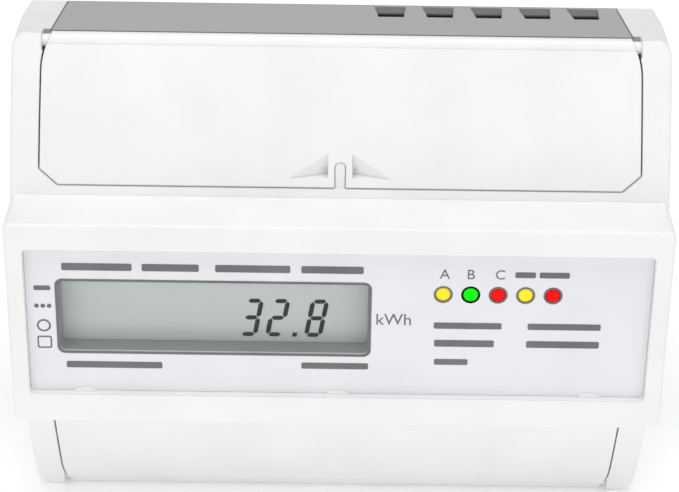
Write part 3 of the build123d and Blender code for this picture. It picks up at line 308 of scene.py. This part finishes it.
slots = {
    "white_housing": make_material("white_housing", WHITE, 0.42, grain=2200.0, relief=0.02, edge=0.35),
    "grey_base": make_material("grey_base", (0.415, 0.415, 0.42), 0.5, grain=1800.0, relief=0.04, edge=0.3),
    "label": make_material("label", LABEL_TINT, 0.3, grain=4000.0, relief=0.006, edge=0.1),
    "clear_window": make_clear("clear_window"),
    "lcd": make_display("lcd"),
    "black_plastic": make_material("black_plastic", (0.03, 0.03, 0.032), 0.45),
    "diffuser": make_material("diffuser", (0.86, 0.88, 0.88), 0.25, relief=0.01),
    "elastomer": make_material("elastomer", (0.55, 0.25, 0.32), 0.7, second=(0.75, 0.42, 0.45)),
    "yellow_led": make_lamp("yellow_led", (0.94, 0.72, 0.03)),
    "green_led": make_lamp("green_led", (0.003, 0.94, 0.001)),
    "red_led": make_lamp("red_led", (0.90, 0.001, 0.001)),
    "circuit_board": make_board("circuit_board"),
    "connector_plastic": make_material("connector_plastic", (0.72, 0.70, 0.62), 0.45),
    "transformer_case": make_material("transformer_case", (0.03, 0.035, 0.05), 0.4, relief=0.05),
    "capacitor_film": make_material("capacitor_film", (0.75, 0.42, 0.03), 0.35, relief=0.03),
    "capacitor_can": make_material("capacitor_can", (0.03, 0.05, 0.14), 0.3, coat=0.3),
    "chip_plastic": make_material("chip_plastic", (0.025, 0.025, 0.028), 0.6, relief=0.04),
    "copper_bar": make_material("copper_bar", (0.82, 0.42, 0.27), 0.32, metallic=1.0, relief=0.01,
                                second=(0.70, 0.32, 0.20), stretch=(1.0, 6.0, 1.0)),
    "brass_contact": make_material("brass_contact", (0.80, 0.62, 0.30), 0.3, metallic=1.0, relief=0.01,
                                   second=(0.72, 0.53, 0.24)),
    "cage_metal": make_material("cage_metal", (0.62, 0.62, 0.60), 0.35, metallic=1.0, relief=0.012,
                                second=(0.70, 0.69, 0.64)),
    "screw_steel": make_material("screw_steel", (0.68, 0.68, 0.69), 0.28, metallic=1.0, relief=0.012,
                                 second=(0.60, 0.61, 0.64), edge=0.15),
    "clip_plastic": make_material("clip_plastic", (0.045, 0.045, 0.05), 0.42, relief=0.04),
    "spring_steel": make_material("spring_steel", (0.55, 0.55, 0.57), 0.3, metallic=1.0, relief=0.01),
}
# dark ink for the print, also used for the painted shade round the lamps
print_and_shade_ink = make_material("print_ink_and_painted_shade", INK, 0.5, grain=6000.0, relief=0.004, edge=0.0, second=(0.17, 0.17, 0.175))
black_ink = make_material("display_ink", BLACK, 0.6, relief=0.003, edge=0.0, second=(0.006, 0.006, 0.007))
black_ink.node_tree.nodes["Principled BSDF"].inputs["Specular IOR Level"].default_value = INK_SHINE
# painted shade for the walls of the window tunnel
window_painted_shade = make_material("window_painted_shade", (0.28, 0.29, 0.30), 0.5)
# painted shade for the ramps in the wire slots
ramp_shade_grey = make_material("ramp_shade_grey", (0.17, 0.17, 0.185), 0.3)


def dress_nodes():
    """Every CAD node takes the material of its slot."""
    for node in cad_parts.values():
        for place in node.material_slots:
            place.material = slots[place.material.name.split(".")[0]]


dress_nodes()


# ---------------------------------------------------------------- print on the label

LABEL_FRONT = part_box("label_panel")[0].y
GLASS_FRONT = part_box("lcd_glass")[0].y
INK_FILM = 0.04 * MM  # how far print stands out
INK_ROOT = 0.01 * MM  # how far it is sunk in


def bar(left, right, low, high, radius=0.3):
    """Corner points of a bar with rounded ends, in millimetres across and up."""
    radius = min(radius, (right - left) / 2, (high - low) / 2)
    steps = 4
    points = []
    for turn, (x, z) in enumerate([(right, high), (left, high), (left, low), (right, low)]):
        cx = x - radius if x == right else x + radius
        cz = z - radius if z == high else z + radius
        for step in range(steps + 1):
            angle = math.radians(90.0) * (turn + step / steps)
            points.append((cx + radius * math.cos(angle), cz + radius * math.sin(angle)))
    return points


def disc(x, z, radius, steps=24):
    return [(x + radius * math.cos(math.tau * k / steps), z + radius * math.sin(math.tau * k / steps))
            for k in range(steps)]


def print_and_shade_piece(name, shapes, rings, front, material):
    """A thin piece of print, also used for painted shade: filled outlines, and rings given as an outer and
    an inner outline.
    """
    mesh = bmesh.new()
    for outline in shapes:
        face = mesh.faces.new([mesh.verts.new((x * MM, front - INK_FILM, z * MM)) for x, z in outline])
        face.normal_update()
        if face.normal.y > 0:
            face.normal_flip()
    for outer, inner in rings:
        out_points = [mesh.verts.new((x * MM, front - INK_FILM, z * MM)) for x, z in outer]
        in_points = [mesh.verts.new((x * MM, front - INK_FILM, z * MM)) for x, z in inner]
        for k in range(len(outer)):
            after = (k + 1) % len(outer)
            face = mesh.faces.new((out_points[k], in_points[k], in_points[after], out_points[after]))
            face.normal_update()
            if face.normal.y > 0:
                face.normal_flip()
    fronts = list(mesh.faces)
    grown = bmesh.ops.extrude_face_region(mesh, geom=fronts, use_keep_orig=True)
    moved = [part for part in grown["geom"] if isinstance(part, bmesh.types.BMVert)]
    bmesh.ops.translate(mesh, verts=moved, vec=(0.0, INK_FILM + INK_ROOT, 0.0))
    bmesh.ops.recalc_face_normals(mesh, faces=list(mesh.faces))
    data = bpy.data.meshes.new(name)
    mesh.to_mesh(data)
    mesh.free()
    data.materials.append(material)
    piece = bpy.data.objects.new(name, data)
    scene.collection.objects.link(piece)
    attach(piece, BODY)
    return piece


def word_bars(lines, share=0.62):
    """One plain bar for each word: the bar takes share of the height of the words."""
    shapes = []
    for low, high, spans in lines:
        trim = (high - low) * (1.0 - share) / 2
        shapes += [bar(left, right, low + trim, high - trim) for left, right in spans]
    return shapes


TITLE_LINES = [
    (10.3, 12.8, [(-52.5, -39.2), (-37.3, -26.5), (-23.4, -9.2), (-7.1, 4.7)]),
]
SMALL_LINES = [
    (-11.0, -8.7, [(-52.4, -33.9)]),
    (-10.6, -8.4, [(-7.0, 5.9)]),
    (10.0, 12.0, [(33.4, 37.3), (38.0, 43.7)]),
    (-1.3, 0.9, [(18.3, 31.3), (36.3, 50.3)]),
    (-5.3, -2.9, [(18.5, 30.0), (36.2, 50.2)]),
    (-9.3, -7.2, [(18.6, 25.1)]),
]
SYMBOL_X = (-58.0, -54.8)


def print_symbols():
    """Four plain marks in a column at the left edge of the label."""
    left, right = SYMBOL_X
    middle = (left + right) / 2
    shapes = [bar(left, right, 6.4, 7.4)]
    shapes += [disc(middle + step, 3.0, 0.45) for step in (-1.2, 0.0, 1.2)]
    rings = [(disc(middle, -1.3, 1.35), disc(middle, -1.3, 1.0))]
    rings += [(bar(left + 0.2, right - 0.2, -6.3, -3.6, 0.4), bar(left + 0.5, right - 0.5, -6.0, -3.9, 0.2))]
    return print_and_shade_piece("label_symbols", shapes, rings, LABEL_FRONT, print_and_shade_ink)


print_and_shade_piece("label_title", word_bars(TITLE_LINES), [], LABEL_FRONT, print_and_shade_ink)
print_and_shade_piece("label_small_print", word_bars(SMALL_LINES), [], LABEL_FRONT, print_and_shade_ink)
print_symbols()


def letters(name, text, left, base, height):
    """Generic letters, made as a thin mesh on the label."""
    data = bpy.data.curves.new(name + "_outline", "FONT")
    data.body = text
    data.extrude = (INK_FILM + INK_ROOT) / 2
    data.resolution_u = 4
    shape = bpy.data.objects.new(name + "_outline", data)
    scene.collection.objects.link(shape)
    bpy.context.view_layer.update()
    mesh = bpy.data.meshes.new_from_object(shape.evaluated_get(bpy.context.evaluated_depsgraph_get()))
    bpy.data.objects.remove(shape)
    low_x = min(v.co.x for v in mesh.vertices)
    low_y = min(v.co.y for v in mesh.vertices)
    high_y = max(v.co.y for v in mesh.vertices)
    size = height * MM / (high_y - low_y)
    middle = LABEL_FRONT + (INK_ROOT - INK_FILM) / 2
    for v in mesh.vertices:
        across = (v.co.x - low_x) * size + left * MM
        up = (v.co.y - low_y) * size + base * MM
        v.co = (across, middle - v.co.z, up)
    mesh.name = name
    mesh.materials.clear()
    mesh.materials.append(print_and_shade_ink)
    piece = bpy.data.objects.new(name, mesh)
    scene.collection.objects.link(piece)
    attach(piece, BODY)


letters("unit_text", "kWh", 7.3, -0.2, 2.4)
for letter, left in (("A", 19.1), ("B", 24.4), ("C", 29.7)):
    letters("lamp_letter_" + letter, letter, left, 10.0, 2.0)


# ---------------------------------------------------------------- window border and painted shade round the lamps

BORDER = 0.5
CORNER = 1.0
LAMP_SHADE_WIDTH = 0.36  # painted shade that covers the gap between a lamp and the edge of its hole
LAMP_GAP = 0.02


def window_limits():
    """Left, right, base and top of the window, in millimetres."""
    low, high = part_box("display_window")
    return low.x / MM + BORDER, high.x / MM - BORDER, low.z / MM + BORDER, high.z / MM - BORDER


def border_window():
    """A dark printed line round the window."""
    left, right, base, top = window_limits()
    outer = bar(left - BORDER, right + BORDER, base - BORDER, top + BORDER, CORNER + BORDER)
    inner = bar(left, right, base, top, CORNER)
    print_and_shade_piece("window_border", [], [(outer, inner)], LABEL_FRONT, print_and_shade_ink)


border_window()


def lamps_of(node):
    """Middle and radius of each lamp in a node that holds one or two of them, in millimetres."""
    low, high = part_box(node)
    radius = (high.z - low.z) / 2 / MM
    middle = (high.z + low.z) / 2 / MM
    places = {round(low.x / MM + radius, 3), round(high.x / MM - radius, 3)}
    return [(x, middle, radius) for x in sorted(places)]


def paint_lamp_gap_shade():
    """Painted shade: a dark ring round each lamp, over the gap at the edge of its hole."""
    rings = []
    for node in ("yellow_leds", "green_led", "red_leds"):
        for x, z, radius in lamps_of(node):
            rings.append((disc(x, z, radius + LAMP_GAP + LAMP_SHADE_WIDTH), disc(x, z, radius + LAMP_GAP)))
    print_and_shade_piece("lamp_gap_painted_shade", [], rings, LABEL_FRONT, print_and_shade_ink)


paint_lamp_gap_shade()

# ---------------------------------------------------------------- painted shade in the window and on the slot ramps

SHADE_SHEET_T = 0.12 * MM
SHADE_LIFT = 0.05 * MM  # how far the sheet of painted shade stands off its ramp


def solid_piece(name, corners, faces, material):
    """A closed mesh, given by its corners in metres, that rides on the housing."""
    data = bpy.data.meshes.new(name)
    data.from_pydata(corners, [], faces)
    mesh = bmesh.new()
    mesh.from_mesh(data)
    bmesh.ops.recalc_face_normals(mesh, faces=list(mesh.faces))
    mesh.to_mesh(data)
    mesh.free()
    data.materials.append(material)
    piece = bpy.data.objects.new(name, data)
    scene.collection.objects.link(piece)
    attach(piece, BODY)


def paint_window_shade():
    """A thin grey sheet of painted shade inside the window, from the pane back to the display glass."""
    left, right, base, top = window_limits()
    front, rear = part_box("display_window")[1].y + SHADE_SHEET_T, GLASS_FRONT - SHADE_SHEET_T
    thin = SHADE_SHEET_T / MM
    outline = bar(left, right, base, top, CORNER)
    inner = bar(left + thin, right - thin, base + thin, top - thin, CORNER - thin)
    corners = [(x * MM, y, z * MM) for y in (front, rear) for line in (outline, inner) for x, z in line]
    count = len(outline)
    faces = []
    for k in range(count):
        after = (k + 1) % count
        rows = [(k + start, after + start) for start in (0, count, 3 * count, 2 * count)]
        for here, there in zip(rows, rows[1:] + rows[:1]):
            faces.append((here[0], here[1], there[1], there[0]))
    solid_piece("window_tunnel_painted_shade", corners, faces, window_painted_shade)


paint_window_shade()

# Depth, height and half width of the low and the high edge of a slot's ramp, in millimetres
RAMP_EDGES = ((-12.53, 45.45, 2.97), (-10.50, 46.07, 3.08))
AUX_SCREWS = 5


def paint_ramp_shade():
    """A thin sheet of painted shade, darker than the plate, on the ramp in each of the five slots of the
    wire-entry plate.
    """
    (y0, z0, _), (y1, z1, _) = RAMP_EDGES
    normal = Vector((0.0, z0 - z1, y1 - y0)).normalized()
    for number in range(1, AUX_SCREWS + 1):
        low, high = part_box(f"aux_screw_{number}")
        middle = (low.x + high.x) / 2
        ends = []
        for y, z, half in RAMP_EDGES:
            ends.append([Vector((middle + side * half * MM, y * MM, z * MM)) for side in (-1, 1)])
        base = [ends[0][0], ends[0][1], ends[1][1], ends[1][0]]
        corners = [tuple(p + normal * SHADE_LIFT) for p in base] + [tuple(p - normal * SHADE_LIFT / 2) for p in base]
        faces = [(0, 1, 2, 3), (7, 6, 5, 4)] + [(k, k + 4, (k + 1) % 4 + 4, (k + 1) % 4) for k in range(4)]
        solid_piece(f"ramp_painted_shade_sheet_{number}", corners, faces, ramp_shade_grey)


paint_ramp_shade()

# ---------------------------------------------------------------- display digits

SLANT = math.radians(10.0)
STROKE = 0.9
DIGIT_W = 3.55  # outside width before slanting
DIGIT_LOW = -5.6
DIGIT_HIGH = 2.7
SEGMENT_GAP = 0.12
SEGMENTS = {"3": "abgcd", "2": "abged", "8": "abcdefg"}
DIGITS = (("3", -19.3), ("2", -14.2), ("8", -6.7))
POINT_X = -8.95


def slanted(points):
    return [(x + (z - DIGIT_LOW) * math.tan(SLANT), z) for x, z in points]


def segment(start, end):
    """One stroke of a digit, with pointed ends."""
    a, b = Vector(start), Vector(end)
    along = (b - a).normalized()
    across = Vector((-along.y, along.x)) * STROKE / 2
    a += along * SEGMENT_GAP
    b -= along * SEGMENT_GAP
    tip = along * STROKE / 2
    return [tuple(p) for p in (a, a + tip + across, b - tip + across, b, b - tip - across, a + tip - across)]


def digit(figure, left):
    low, high = DIGIT_LOW + STROKE / 2, DIGIT_HIGH - STROKE / 2
    middle = (low + high) / 2
    west, east = left + STROKE / 2, left + DIGIT_W - STROKE / 2
    strokes = {
        "a": ((west, high), (east, high)),
        "b": ((east, high), (east, middle)),
        "c": ((east, middle), (east, low)),
        "d": ((west, low), (east, low)),
        "e": ((west, low), (west, middle)),
        "f": ((west, middle), (west, high)),
        "g": ((west, middle), (east, middle)),
    }
    return [slanted(segment(*strokes[letter])) for letter in SEGMENTS[figure]]


def show_reading():
    shapes = []
    for figure, left in DIGITS:
        shapes += digit(figure, left)
    shapes.append(slanted(bar(POINT_X, POINT_X + STROKE, DIGIT_LOW, DIGIT_LOW + STROKE, 0.1)))
    print_and_shade_piece("display_digits", shapes, [], GLASS_FRONT, black_ink)


show_reading()
